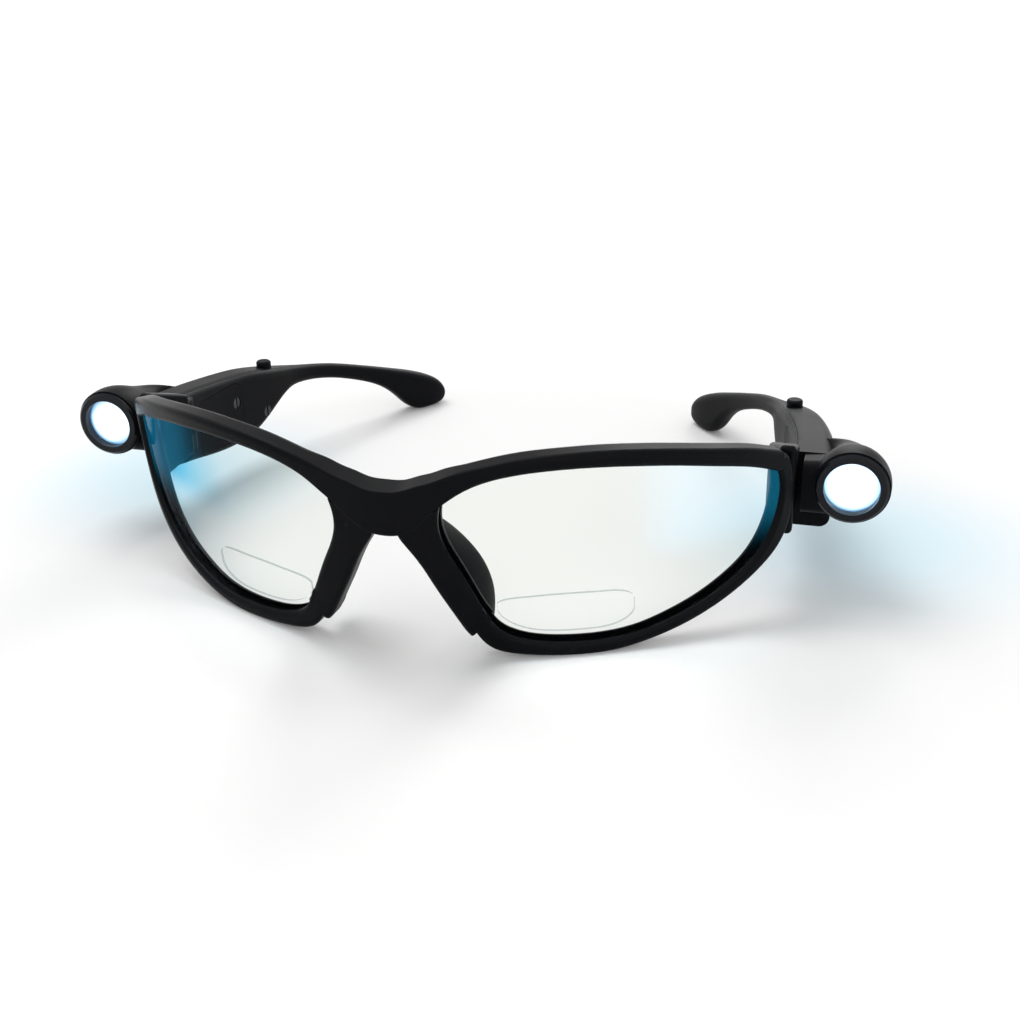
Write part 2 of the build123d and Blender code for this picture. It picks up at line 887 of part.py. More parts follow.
def temple_parts():
    outer = outer_cell_offset()
    cover_screws = [small_screw(*place) for place in cover_screw_places()]
    return {
        "temple_shell": temple_shell(),
        "temple_cover": temple_cover(),
        "cover_screws": Compound(children=cover_screws),
        "battery_door": battery_door(),
        "door_screw": small_screw(*door_screw_place()),
        "door_contact": door_contact(),
        "outer_cell": cell(outer),
        "inner_cell": cell(outer - cell_height - cell_gap),
        "contact_plate": contact_plate(),
        "circuit_board": circuit_board(),
        "switch_body": switch_body(),
        "switch_button": switch_button(),
        "led": led(),
        "reflector": reflector(),
        "lamp_lens": lamp_lens(),
        "lamp_bezel": lamp_bezel(),
        "led_wires": led_wires(),
    }


def main():
    os.makedirs("parts", exist_ok=True)
    nodes = {"front_frame": front_frame()}
    sides = {"lens": lens(), "nose_pad": nose_pad(), "hinge_screw": hinge_screw()}
    sides.update(temple_parts())
    for name, shape in sides.items():
        nodes["left_" + name] = shape
        nodes["right_" + name] = mirror(shape, about=Plane.YZ)
    box = Compound(children=[Compound([s]) for s in nodes.values()]).bounding_box()
    centre = (box.min + box.max) / 2
    shift = Pos(-centre.X, -centre.Y, 0)
    print("origin moved from the bridge's front by", round(centre.X, 4), round(centre.Y, 4))
    for name, shape in nodes.items():
        export_step(shift * shape, "parts/" + name + ".step")


main()
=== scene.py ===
# Lighted magnifier glasses: finishes, soft nose pads, lamp details, studio and camera.
# Left and right are the wearer's. Metres, +X to the wearer's left, +Y back, +Z up.
import math

import bmesh
import bpy
from mathutils import Matrix, Vector


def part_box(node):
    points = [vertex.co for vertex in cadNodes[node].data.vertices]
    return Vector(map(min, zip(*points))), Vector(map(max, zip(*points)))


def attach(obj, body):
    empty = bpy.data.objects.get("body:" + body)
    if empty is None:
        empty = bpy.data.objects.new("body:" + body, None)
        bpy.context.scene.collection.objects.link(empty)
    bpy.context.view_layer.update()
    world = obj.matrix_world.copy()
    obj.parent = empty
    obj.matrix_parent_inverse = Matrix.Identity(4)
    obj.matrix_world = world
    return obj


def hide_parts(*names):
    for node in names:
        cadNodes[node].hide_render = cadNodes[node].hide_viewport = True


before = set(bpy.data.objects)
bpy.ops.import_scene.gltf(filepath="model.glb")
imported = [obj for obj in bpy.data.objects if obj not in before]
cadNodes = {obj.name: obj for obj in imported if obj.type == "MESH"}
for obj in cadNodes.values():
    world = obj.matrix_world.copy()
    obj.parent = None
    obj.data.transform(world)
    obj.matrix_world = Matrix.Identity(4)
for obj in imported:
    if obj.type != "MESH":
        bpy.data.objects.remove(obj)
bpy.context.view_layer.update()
mm = 0.001
sides = {"left": 1, "right": -1}  # the sign of X on each side


# Helpers for shader trees

colourMixSockets = {"factor": 0, "first": 6, "second": 7, "result": 2}  # of a Mix node for colours


def feed(tree, socket, value):
    # a value is set on the socket, and another node's output is linked to it
    if isinstance(value, bpy.types.NodeSocket):
        tree.links.new(value, socket)
    else:
        socket.default_value = value


def setInputs(tree, node, values):
    for name, value in values.items():
        feed(tree, node.inputs[name], value)


def addNode(tree, kind, inputs=None, **settings):
    node = tree.nodes.new(kind)
    for name, value in settings.items():
        setattr(node, name, value)
    setInputs(tree, node, inputs or {})
    return node


def mathNode(tree, operation, *values, clamp=False):
    node = addNode(tree, "ShaderNodeMath", operation=operation, use_clamp=clamp)
    for socket, value in zip(node.inputs, values):
        feed(tree, socket, value)
    return node.outputs[0]


def vectorNode(tree, operation, *values, result="Vector"):
    node = addNode(tree, "ShaderNodeVectorMath", operation=operation)
    for socket, value in zip(node.inputs, values):
        feed(tree, socket, value)
    return node.outputs[result]


def noiseNode(tree, where, values):
    return addNode(tree, "ShaderNodeTexNoise", dict(values, Vector=where)).outputs["Fac"]


def splitVector(tree, vector):
    return addNode(tree, "ShaderNodeSeparateXYZ", {"Vector": vector}).outputs


def mixColour(tree, factor, first, second):
    node = addNode(tree, "ShaderNodeMix", data_type="RGBA")
    for part, value in {"factor": factor, "first": first, "second": second}.items():
        feed(tree, node.inputs[colourMixSockets[part]], value)
    return node.outputs[colourMixSockets["result"]]


def rgba(colour):
    return (*colour, 1.0)


def smoothStep(tree, value, low, high):
    values = {"Value": value, "From Min": low, "From Max": high}
    node = addNode(tree, "ShaderNodeMapRange", values, interpolation_type="SMOOTHERSTEP")
    return node.outputs["Result"]


def colourRamp(tree, factor, stops):
    ramp = addNode(tree, "ShaderNodeValToRGB", {"Fac": factor})
    elements = ramp.color_ramp.elements
    for element, (place, colour) in zip(elements, (stops[0], stops[-1])):
        element.position, element.color = place, rgba(colour)
    for place, colour in stops[1:-1]:
        elements.new(place).color = rgba(colour)
    return ramp.outputs["Color"]


def distanceFrom(tree, where, outwards, axis, along):
    # how far a point is from the same place on either side, in the plane of X and the given axis
    place = splitVector(tree, where)
    first = mathNode(tree, "SUBTRACT", mathNode(tree, "ABSOLUTE", place["X"]), outwards)
    second = mathNode(tree, "SUBTRACT", place[axis], along)
    squares = [mathNode(tree, "MULTIPLY", step, step) for step in (first, second)]
    return mathNode(tree, "SQRT", mathNode(tree, "ADD", *squares))


def cornerMask(tree, where, corner):
    # rises outwards across X and upwards across Z
    place = splitVector(tree, where)
    outer = smoothStep(tree, mathNode(tree, "ABSOLUTE", place["X"]), *corner["outwards"])
    return mathNode(tree, "MULTIPLY", outer, smoothStep(tree, place["Z"], *corner["upwards"]))


def seenDirectly(tree):
    # 1 for what the camera, a reflection or a clear part shows, 0 for light on other things
    path = addNode(tree, "ShaderNodeLightPath").outputs
    seen = path["Is Camera Ray"]
    for ray in ("Is Glossy Ray", "Is Transmission Ray"):
        seen = mathNode(tree, "ADD", seen, path[ray], clamp=True)
    return seen


# Effects that several finishes share

def newGroup(name, inputs, outputs):
    group = bpy.data.node_groups.new(name, "ShaderNodeTree")
    for label in inputs:
        kind = "NodeSocketVector" if label == "Vector" else "NodeSocketFloat"
        group.interface.new_socket(name=label, in_out="INPUT", socket_type=kind)
    for label in outputs:
        group.interface.new_socket(name=label, in_out="OUTPUT", socket_type="NodeSocketFloat")
    start = group.nodes.new("NodeGroupInput")
    end = group.nodes.new("NodeGroupOutput")
    return group, start.outputs, end.inputs


grainForm = {
    "fine": {"Detail": 3.0, "Roughness": 0.6},
    "slow": {"Scale": 90.0, "Detail": 4.0, "Roughness": 0.55},
    "slowMiddle": 0.5,  # the noise about which the gloss drifts
}


def buildMouldGrain(form):
    # the fine spark texture of a moulding tool, with a slower drift in gloss
    inputs, outputs = ("Vector", "Grain Size", "Drift"), ("Height", "Gloss Drift")
    group, start, end = newGroup("mouldGrain", inputs, outputs)
    fine = noiseNode(group, start["Vector"], dict(form["fine"], Scale=start["Grain Size"]))
    slow = noiseNode(group, start["Vector"], form["slow"])
    centred = mathNode(group, "SUBTRACT", slow, form["slowMiddle"])
    feed(group, end["Height"], fine)
    feed(group, end["Gloss Drift"], mathNode(group, "MULTIPLY", centred, start["Drift"]))
    return group


wearForm = {
    "samples": 4,
    "patches": {"Scale": 260.0, "Detail": 5.0, "Roughness": 0.65},
}


def buildEdgeWear(form):
    # where handling has polished the corners: the rounded normal differs from the true one there
    group, start, end = newGroup("edgeWear", ("Vector", "Radius", "Amount"), ("Mask",))
    radius = {"Radius": start["Radius"]}
    rounded = addNode(group, "ShaderNodeBevel", radius, samples=form["samples"])
    surface = addNode(group, "ShaderNodeNewGeometry")
    normals = (rounded.outputs["Normal"], surface.outputs["Normal"])
    alike = vectorNode(group, "DOT_PRODUCT", *normals, result="Value")
    bent = mathNode(group, "SUBTRACT", 1.0, alike)
    strong = mathNode(group, "MULTIPLY", bent, start["Amount"])
    patches = noiseNode(group, start["Vector"], form["patches"])
    feed(group, end["Mask"], mathNode(group, "MULTIPLY", strong, patches, clamp=True))
    return group


dustForm = {
    "specks": {"Scale": 2100.0, "Detail": 2.0},
    "speckFrom": 0.66,  # the noise at which a speck begins
    "speckCrispness": 12.0,
    "film": 0.45,
}


def buildDustSpecks(form):
    # a few pale specks, and a thin film on what faces up
    group, start, end = newGroup("dustSpecks", ("Vector", "Amount"), ("Mask",))
    specks = noiseNode(group, start["Vector"], form["specks"])
    above = mathNode(group, "SUBTRACT", specks, form["speckFrom"])
    sharp = mathNode(group, "MULTIPLY", above, form["speckCrispness"], clamp=True)
    normal = addNode(group, "ShaderNodeNewGeometry").outputs["Normal"]
    upward = mathNode(group, "MAXIMUM", splitVector(group, normal)["Z"], 0.0)
    film = mathNode(group, "MULTIPLY", upward, form["film"])
    both = mathNode(group, "ADD", film, sharp, clamp=True)
    feed(group, end["Mask"], mathNode(group, "MULTIPLY", both, start["Amount"]))
    return group


linesForm = {"Distortion": 1.2, "Detail": 2.0, "Detail Scale": 1.4}


def buildTurnedLines(form):
    # fine lines left by a tool, in rings so wide that they look straight on a small part
    group, start, end = newGroup("turnedLines", ("Vector", "Lines"), ("Height",))
    values = dict(form, Vector=start["Vector"], Scale=start["Lines"])
    kinds = {"wave_type": "RINGS", "rings_direction": "SPHERICAL"}
    rings = addNode(group, "ShaderNodeTexWave", values, **kinds)
    feed(group, end["Height"], rings.outputs["Fac"])
    return group


mouldGrain = buildMouldGrain(grainForm)
edgeWear = buildEdgeWear(wearForm)
dustSpecks = buildDustSpecks(dustForm)
turnedLines = buildTurnedLines(linesForm)
print("shader groups ready")


# Finishes

def newMaterial(name, colour):
    material = bpy.data.materials.new(name)
    material.use_nodes = True
    material.diffuse_color = rgba(colour)
    tree = material.node_tree
    shader = tree.nodes["Principled BSDF"]
    shader.inputs["Base Color"].default_value = rgba(colour)
    where = addNode(tree, "ShaderNodeTexCoord").outputs["Object"]
    return material, tree, shader, where


def useGroup(tree, group, where, values):
    return addNode(tree, "ShaderNodeGroup", dict(values, Vector=where), node_tree=group).outputs


def bumpFrom(tree, height, strength, depth):
    values = {"Height": height, "Strength": strength, "Distance": depth}
    return addNode(tree, "ShaderNodeBump", values).outputs["Normal"]


def mouldedPlastic(name, look):
    # satin moulded plastic with grain, handled corners and a little dust
    material, tree, shader, where = newMaterial(name, look["colour"])
    grainValues = {"Grain Size": look["grainSize"], "Drift": look["drift"]}
    wearValues = {"Radius": look["wearRadius"], "Amount": look["wear"]}
    grain = useGroup(tree, mouldGrain, where, grainValues)
    wear = useGroup(tree, edgeWear, where, wearValues)["Mask"]
    dust = useGroup(tree, dustSpecks, where, {"Amount": look["dust"]})["Mask"]
    worn = mixColour(tree, wear, rgba(look["colour"]), rgba(look["wornColour"]))
    rough = mathNode(tree, "ADD", grain["Gloss Drift"], look["roughness"])
    polished = mathNode(tree, "MULTIPLY", wear, look["polish"])
    setInputs(tree, shader, {
        "Base Color": mixColour(tree, dust, worn, rgba(look["dustColour"])),
        "Roughness": mathNode(tree, "SUBTRACT", rough, polished, clamp=True),
        "Normal": bumpFrom(tree, grain["Height"], look["grainStrength"], look["grainDepth"]),
        "IOR": look["ior"],
        "Specular IOR Level": look["shine"],
    })
    return material


frameLook = {
    "colour": (0.0028, 0.0031, 0.0042),
    "wornColour": (0.012, 0.0135, 0.017),
    "dustColour": (0.42, 0.44, 0.46),
    "roughness": 0.36,
    "polish": 0.12,
    "drift": 0.12,
    "grainSize": 3800.0,
    "grainStrength": 0.22,
    "grainDepth": 0.04 * mm,
    "wearRadius": 0.6 * mm,
    "wear": 3.0,
    "dust": 0.008,
    "ior": 1.49,
    "shine": 0.06,
}
templeLook = dict(
    frameLook, colour=(0.0032, 0.0035, 0.0047), roughness=0.42, grainSize=3200.0, grainStrength=0.3,
)
doorLook = dict(
    templeLook, colour=(0.004, 0.0043, 0.0055), roughness=0.5, grainSize=4600.0, grainStrength=0.4,
)
buttonLook = dict(templeLook, colour=(0.005, 0.0053, 0.0065), roughness=0.46, wear=5.0)
bezelLook = dict(
    frameLook, colour=(0.004, 0.005, 0.008), roughness=0.24, grainStrength=0.08, polish=0.06,
    shine=0.2,
)
switchLook = dict(bezelLook, colour=(0.02, 0.02, 0.021), roughness=0.3, grainStrength=0.15)


def rubberMaterial(name, look):
    # soft rubber, with the same grain and dust but no wear
    material, tree, shader, where = newMaterial(name, look["colour"])
    grainValues = {"Grain Size": look["grainSize"], "Drift": look["drift"]}
    grain = useGroup(tree, mouldGrain, where, grainValues)
    dust = useGroup(tree, dustSpecks, where, {"Amount": look["dust"]})["Mask"]
    setInputs(tree, shader, {
        "Base Color": mixColour(tree, dust, rgba(look["colour"]), rgba(look["dustColour"])),
        "Roughness": mathNode(tree, "ADD", grain["Gloss Drift"], look["roughness"]),
        "Normal": bumpFrom(tree, grain["Height"], look["grainStrength"], look["grainDepth"]),
        "IOR": look["ior"],
        "Specular IOR Level": look["shine"],
    })
    return material


padLook = {
    "colour": (0.006, 0.0068, 0.0085),
    "dustColour": (0.4, 0.41, 0.43),
    "roughness": 0.55,
    "drift": 0.1,
    "grainSize": 2600.0,
    "grainStrength": 0.02,
    "grainDepth": 0.05 * mm,
    "dust": 0.0015,
    "ior": 1.45,
    "shine": 0.15,
}
wireLook = dict(
    padLook, colour=(0.32, 0.02, 0.018), roughness=0.5, grainSize=4200.0, grainStrength=0.12,
    dust=0.02,
)


def metalMaterial(name, look):
    # turned or drawn metal, stained in patches
    material, tree, shader, where = newMaterial(name, look["colour"])
    lines = useGroup(tree, turnedLines, where, {"Lines": look["lines"]})["Height"]
    grainValues = {"Grain Size": look["grainSize"], "Drift": look["drift"]}
    drift = useGroup(tree, mouldGrain, where, grainValues)["Gloss Drift"]
    stain = mathNode(tree, "MULTIPLY", noiseNode(tree, where, look["stainPatches"]), look["stain"])
    setInputs(tree, shader, {
        "Base Color": mixColour(tree, stain, rgba(look["colour"]), rgba(look["stainColour"])),
        "Roughness": mathNode(tree, "ADD", drift, look["roughness"]),
        "Normal": bumpFrom(tree, lines, look["lineStrength"], look["lineDepth"]),
        "Metallic": 1.0,
    })
    return material


screwLook = {
    "colour": (0.07, 0.072, 0.08),
    "stainColour": (0.03, 0.03, 0.034),
    "stainPatches": {"Scale": 420.0, "Detail": 4.0},
    "stain": 0.5,
    "roughness": 0.36,
    "grainSize": 1500.0,
    "drift": 0.2,
    "lines": 2600.0,
    "lineStrength": 0.3,
    "lineDepth": 0.01 * mm,
}
cellLook = dict(
    screwLook, colour=(0.74, 0.74, 0.73), stainColour=(0.5, 0.49, 0.46), stain=0.35, roughness=0.24,
)
contactLook = dict(
    screwLook, colour=(0.78, 0.62, 0.3), stainColour=(0.5, 0.36, 0.14), stain=0.4, roughness=0.28,
)
reflectorLook = dict(
    screwLook, colour=(0.9, 0.91, 0.93), stainColour=(0.75, 0.76, 0.8), stain=0.1, roughness=0.08,
    lineStrength=0.05,
)


def boardMaterial(name, look):
    # green lacquer over copper tracks
    material, tree, shader, where = newMaterial(name, look["colour"])
    tracks = addNode(tree, "ShaderNodeTexBrick", dict(look["tracks"], Vector=where)).outputs["Fac"]
    setInputs(tree, shader, {
        "Base Color": mixColour(tree, tracks, rgba(look["colour"]), rgba(look["trackColour"])),
        "Normal": bumpFrom(tree, tracks, look["trackStrength"], look["trackDepth"]),
        "Roughness": look["roughness"],
        "Coat Weight": look["coat"],
        "Coat Roughness": look["coatRoughness"],
    })
    return material


boardLook = {
    "colour": (0.012, 0.085, 0.035),
    "trackColour": (0.03, 0.16, 0.06),
    "tracks": {"Scale": 330.0, "Mortar Size": 0.12, "Mortar Smooth": 0.1, "Row Height": 0.4},
    "trackStrength": 0.3,
    "trackDepth": 0.03 * mm,
    "roughness": 0.3,
    "coat": 0.5,
    "coatRoughness": 0.12,
}


def letLightThrough(tree, shader, share):
    # a clear part casts only a faint shadow
    shadow = addNode(tree, "ShaderNodeLightPath").outputs["Is Shadow Ray"]
    clear = addNode(tree, "ShaderNodeBsdfTransparent")
    mix = addNode(tree, "ShaderNodeMixShader")
    factor = mathNode(tree, "MULTIPLY", shadow, share)
    for socket, value in zip(mix.inputs, (factor, shader.outputs["BSDF"], clear.outputs["BSDF"])):
        feed(tree, socket, value)
    feed(tree, tree.nodes["Material Output"].inputs["Surface"], mix.outputs["Shader"])


def lensWall(tree, where, look):
    # the step round the magnifier segment and the lens's own edge, told by how they face, for a
    # painted shade on them
    level = vectorNode(tree, "MULTIPLY", where, (1.0, 1.0, 0.0))
    inward = vectorNode(tree, "SUBTRACT", (0.0, look["curveCentreY"], 0.0), level)
    unit = vectorNode(tree, "NORMALIZE", inward)
    normal = addNode(tree, "ShaderNodeNewGeometry").outputs["Normal"]
    dot = vectorNode(tree, "DOT_PRODUCT", unit, normal, result="Value")
    aside = mathNode(tree, "SUBTRACT", look["wallFrom"], mathNode(tree, "ABSOLUTE", dot))
    return mathNode(tree, "MULTIPLY", aside, look["wallCrispness"], clamp=True)


def lensMaterial(name, look):
    # clear polycarbonate, coloured blue-green where it is seen edge on as a painted reflection of
    # its hard coat
    material, tree, shader, where = newMaterial(name, look["faceColour"])
    facing = addNode(tree, "ShaderNodeLayerWeight", {"Blend": look["blend"]}).outputs["Facing"]
    # the lens's own pale tint face on, a painted blue-green reflection of the coat edge on
    tintsAndPaintedReflection = [colourRamp(tree, facing, look[stops]) for stops in ("tintsAndPaintedReflection", "cornerTintsAndPaintedGlow")]
    # in the outer top corner the painted reflection is of the lamp's light
    tintAndPaintedReflection = mixColour(tree, cornerMask(tree, where, look["corner"]), *tintsAndPaintedReflection)
    haze = mathNode(tree, "MULTIPLY", noiseNode(tree, where, look["hazePatches"]), look["haze"])
    # a painted glow: the lamp's light in the outer top corner
    spill = cornerMask(tree, where, look["spill"])
    setInputs(tree, shader, {
        # painted shade on the walls of the step and the edge
        "Base Color": mixColour(tree, lensWall(tree, where, look), tintAndPaintedReflection, rgba(look["paintedWallShade"])),
        "Roughness": mathNode(tree, "ADD", haze, look["roughness"]),
        "Emission Color": mixColour(tree, spill, rgba(look["unlit"]), rgba(look["spillColour"])),
        "Emission Strength": 1.0,
        "Transmission Weight": 1.0,
        "IOR": look["ior"],
    })
    letLightThrough(tree, shader, look["light"])
    return material


lensLook = {
    "faceColour": (0.93, 0.945, 0.915),
    # how far the surface turns from the eye, and the colour there: the lens's tint face on, a
    # painted reflection of the coat edge on
    "blend": 0.5,
    "tintsAndPaintedReflection": [
        (0.34, (0.93, 0.945, 0.915)),
        (0.5, (0.92, 0.945, 0.925)),
        (0.62, (0.89, 0.935, 0.93)),
        (0.7, (0.8, 0.91, 0.93)),
        (0.8, (0.55, 0.81, 0.9)),
        (0.92, (0.2, 0.58, 0.74)),
    ],
    # the same in the outer top corner, where a painted reflection of the lamp's light lies on the
    # coat
    "cornerTintsAndPaintedGlow": [
        (0.4, (0.93, 0.945, 0.915)),
        (0.5, (0.84, 0.92, 0.94)),
        (0.6, (0.5, 0.78, 0.87)),
        (0.67, (0.22, 0.6, 0.76)),
        (0.73, (0.02, 0.38, 0.6)),
        (0.9, (0.0, 0.26, 0.44)),
    ],
    "corner": {"outwards": (24.0 * mm, 43.0 * mm), "upwards": (18.0 * mm, 28.0 * mm)},
    # painted shade: walls that are seen side on are coloured darker
    "paintedWallShade": (0.4, 0.45, 0.46),
    "curveCentreY": 14.43 * mm,  # the middle of the arc that both lenses follow
    "wallFrom": 0.8,
    "wallCrispness": 4.0,
    "hazePatches": {"Scale": 130.0, "Detail": 6.0, "Roughness": 0.7},
    "haze": 0.006,
    "roughness": 0.004,
    # a painted glow: light that the lamp beside it spills into the outer top corner of the lens
    "unlit": (0.0, 0.0, 0.0),
    "spillColour": (0.002, 0.048, 0.082),
    "spill": {"outwards": (38.0 * mm, 54.0 * mm), "upwards": (14.0 * mm, 26.0 * mm)},
    "ior": 1.02,  # an anti-reflection coat takes nearly all the gloss away
    "light": 0.92,
}


def glowMaterial(name, look):
    # clear plastic lit from within, in rings about the lamp's axis
    material, tree, shader, where = newMaterial(name, look["colour"])
    away = distanceFrom(tree, where, look["axisX"], "Z", look["axisZ"])
    share = mathNode(tree, "DIVIDE", away, look["radius"], clamp=True)
    ripple = noiseNode(tree, where, look["ripple"])
    setInputs(tree, shader, {
        "Emission Color": colourRamp(tree, share, look["rings"]),
        "Emission Strength": look["strength"],
        "Transmission Weight": look["clear"],
        "Roughness": look["roughness"],
        "IOR": look["ior"],
        "Normal": bumpFrom(tree, ripple, look["rippleStrength"], look["rippleDepth"]),
    })
    letLightThrough(tree, shader, look["light"])
    return material


lampAxis = sum(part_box("left_led"), Vector()) / 2
lampLensLook = {
    "colour": (0.5, 0.62, 0.7),
    "axisX": lampAxis.x,
    "axisZ": lampAxis.z,
    "radius": 5.3 * mm,
    # the share of the radius, and the light's colour there
    "rings": [
        (0.5, (1.0, 1.0, 1.0)),
        (0.6, (0.62, 0.82, 0.95)),
        (0.7, (1.0, 1.0, 1.0)),
        (0.84, (0.72, 0.88, 0.98)),
        (0.93, (0.3, 0.52, 0.75)),
        (1.0, (0.1, 0.26, 0.48)),
    ],
    "strength": 0.55,
    "clear": 0.55,
    "roughness": 0.04,
    "ior": 1.49,
    "ripple": {"Scale": 700.0, "Detail": 2.0},
    "rippleStrength": 0.1,
    "rippleDepth": 0.1 * mm,
    "light": 0.9,
}
ledLook = dict(
    lampLensLook, colour=(0.97, 0.98, 1.0), radius=2.9 * mm, strength=1.6, clear=0.3,
    roughness=0.05, rings=[(0.5, (1.0, 1.0, 1.0)), (1.0, (0.55, 0.75, 1.0))],
)

finishes = {
    "front_frame": mouldedPlastic("frameSatinBlack", frameLook),
    "lens": lensMaterial("lensClear", lensLook),
    "hinge_screw": metalMaterial("screwDarkSteel", screwLook),
    "temple_shell": mouldedPlastic("templeSatinBlack", templeLook),
    "battery_door": mouldedPlastic("doorMattBlack", doorLook),
    "door_contact": metalMaterial("contactPlated", contactLook),
    "outer_cell": metalMaterial("cellSteel", cellLook),
    "circuit_board": boardMaterial("boardGreen", boardLook),
    "switch_body": mouldedPlastic("switchBlack", switchLook),
    "switch_button": mouldedPlastic("buttonBlack", buttonLook),
    "led": glowMaterial("ledEpoxy", ledLook),
    "reflector": metalMaterial("reflectorBright", reflectorLook),
    "lamp_lens": glowMaterial("lampLensClear", lampLensLook),
    "lamp_bezel": mouldedPlastic("bezelBlack", bezelLook),
    "led_wires": rubberMaterial("wireRed", wireLook),
    "nose_pad": rubberMaterial("padSoftBlack", padLook),
}
sameFinish = {
    "temple_cover": "temple_shell",
    "cover_screws": "hinge_screw",
    "door_screw": "hinge_screw",
    "inner_cell": "outer_cell",
    "contact_plate": "door_contact",
}
for name, node in cadNodes.items():
    side, rest = name.split("_", 1)
    part = rest if side in sides else name
    node.data.materials.clear()
    node.data.materials.append(finishes[sameFinish.get(part, part)])
print("finishes on", len(cadNodes), "parts")


# Meshes of the new pieces

mergeWithin = 0.001 * mm


def meshFrom(bm, name):
    mesh = bpy.data.meshes.new(name)
    bm.to_mesh(mesh)
    bm.free()
    return mesh


def addObject(name, data):
    # at the origin, unturned
    item = bpy.data.objects.new(name, data)
    bpy.context.scene.collection.objects.link(item)
    return item


def finishPiece(bm, name, material, body, smooth=True):
    bmesh.ops.remove_doubles(bm, verts=bm.verts, dist=mergeWithin)
    bmesh.ops.recalc_face_normals(bm, faces=bm.faces)
    mesh = meshFrom(bm, name)
    for face in mesh.polygons:
        face.use_smooth = smooth
    mesh.materials.append(material)
    piece = addObject(name, mesh)
    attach(piece, body)
    return piece


# Soft nose pads

padForm = {
    "halfArc": 82.0 * mm,
    "height": 42.5 * mm,
    "wrapRadius": 83.4 * mm,
    "lean": 0.147,
    "leanLevel": 0.4,
    "backFromOrigin": 68.9708 * mm,  # the front's outer face at the middle, at that level
    "legDepth": 4.6 * mm,
    "sink": 0.7 * mm,  # how far the pad's front goes into the leg
    "thickness": 2.6 * mm,
    "slender": 0.72,  # the most that it may be as a share of a short row's length
    "sides": 20,
    "smoothing": 2,
    "fill": 0.95,
    # from the top down: height, arc at the leg, how far back, how far out
    "rowShares": [
        (0.635, 0.069, 0.058, -0.006),
        (0.588, 0.075, 0.09, -0.01),
        (0.529, 0.087, 0.108, 0.01),
        (0.44, 0.11, 0.112, 0.03),
        (0.35, 0.132, 0.11, 0.042),
        (0.23, 0.162, 0.104, 0.034),
        (0.13, 0.186, 0.09, 0.012),
        (0.08, 0.198, 0.055, 0.0),
    ],
}


def padRing(form, row, sign):
    # the place and stretch of one section of the pad, as a matrix on a unit circle
    share, arcShare, reach, splay = row
    height = share * form["height"]
    turn = arcShare * form["halfArc"] / form["wrapRadius"]
    lean = form["lean"] * (height - form["leanLevel"] * form["height"])
    seat = Vector((
        form["wrapRadius"] * math.sin(turn),
        form["wrapRadius"] * (1 - math.cos(turn)) - lean - form["backFromOrigin"],
        height,
    ))
    inward = Vector((-math.sin(turn), math.cos(turn), form["lean"] * math.cos(turn))).normalized()
    seat += inward * form["legDepth"]
    end = seat + Vector((splay, reach, 0)) * form["halfArc"]
    start = seat - (end - seat).normalized() * form["sink"]
    along = (end - start) / 2
    across = Vector((along.y, -along.x, 0)).normalized()
    across *= min(form["thickness"], along.length * 2 * form["slender"]) / 2
    middle = (start + end) / 2
    place = Matrix((
        (along.x, across.x, 0, middle.x),
        (along.y, across.y, 0, middle.y),
        (0, 0, mm, middle.z),
        (0, 0, 0, 1),
    ))
    return Matrix.Scale(sign, 4, Vector((1, 0, 0))) @ place


def makePad(form, side, sign):
    bm = bmesh.new()
    rows = [padRing(form, row, sign) for row in form["rowShares"]]
    bmesh.ops.create_circle(bm, segments=form["sides"], radius=1.0, matrix=rows[0])
    ring = list(bm.edges)
    bmesh.ops.contextual_create(bm, geom=ring)
    for before, after in zip(rows, rows[1:]):
        new = bmesh.ops.extrude_edge_only(bm, edges=ring)["geom"]
        verts = [item for item in new if isinstance(item, bmesh.types.BMVert)]
        bmesh.ops.transform(bm, matrix=after @ before.inverted(), verts=verts)
        edges = [item for item in new if isinstance(item, bmesh.types.BMEdge)]
        ring = [edge for edge in edges if all(vert in verts for vert in edge.verts)]
    bmesh.ops.contextual_create(bm, geom=ring)
    pad = finishPiece(bm, side + "_soft_pad", finishes["nose_pad"], "front")
    soft = pad.modifiers.new("soft", "SUBSURF")
    soft.levels = soft.render_levels = form["smoothing"]
    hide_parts(side + "_nose_pad")


for side, sign in sides.items():
    makePad(padForm, side, sign)
print("nose pads made")


# The die cup and posts that show inside each LED

cupForm = {
    "behindTip": 2.3 * mm,
    "cupRadius": 1.0 * mm,
    "cupFootRadius": 0.7 * mm,
    "cupDepth": 0.5 * mm,
    "cupSides": 24,
    "dishRim": 0.15 * mm,
    "dishDepth": 0.2 * mm,
    "posts": [(-0.635 * mm, 0.5 * mm), (0.635 * mm, 0.35 * mm)],  # where across, and how wide
    "postLength": 1.7 * mm,
    "postThickness": 0.5 * mm,
}


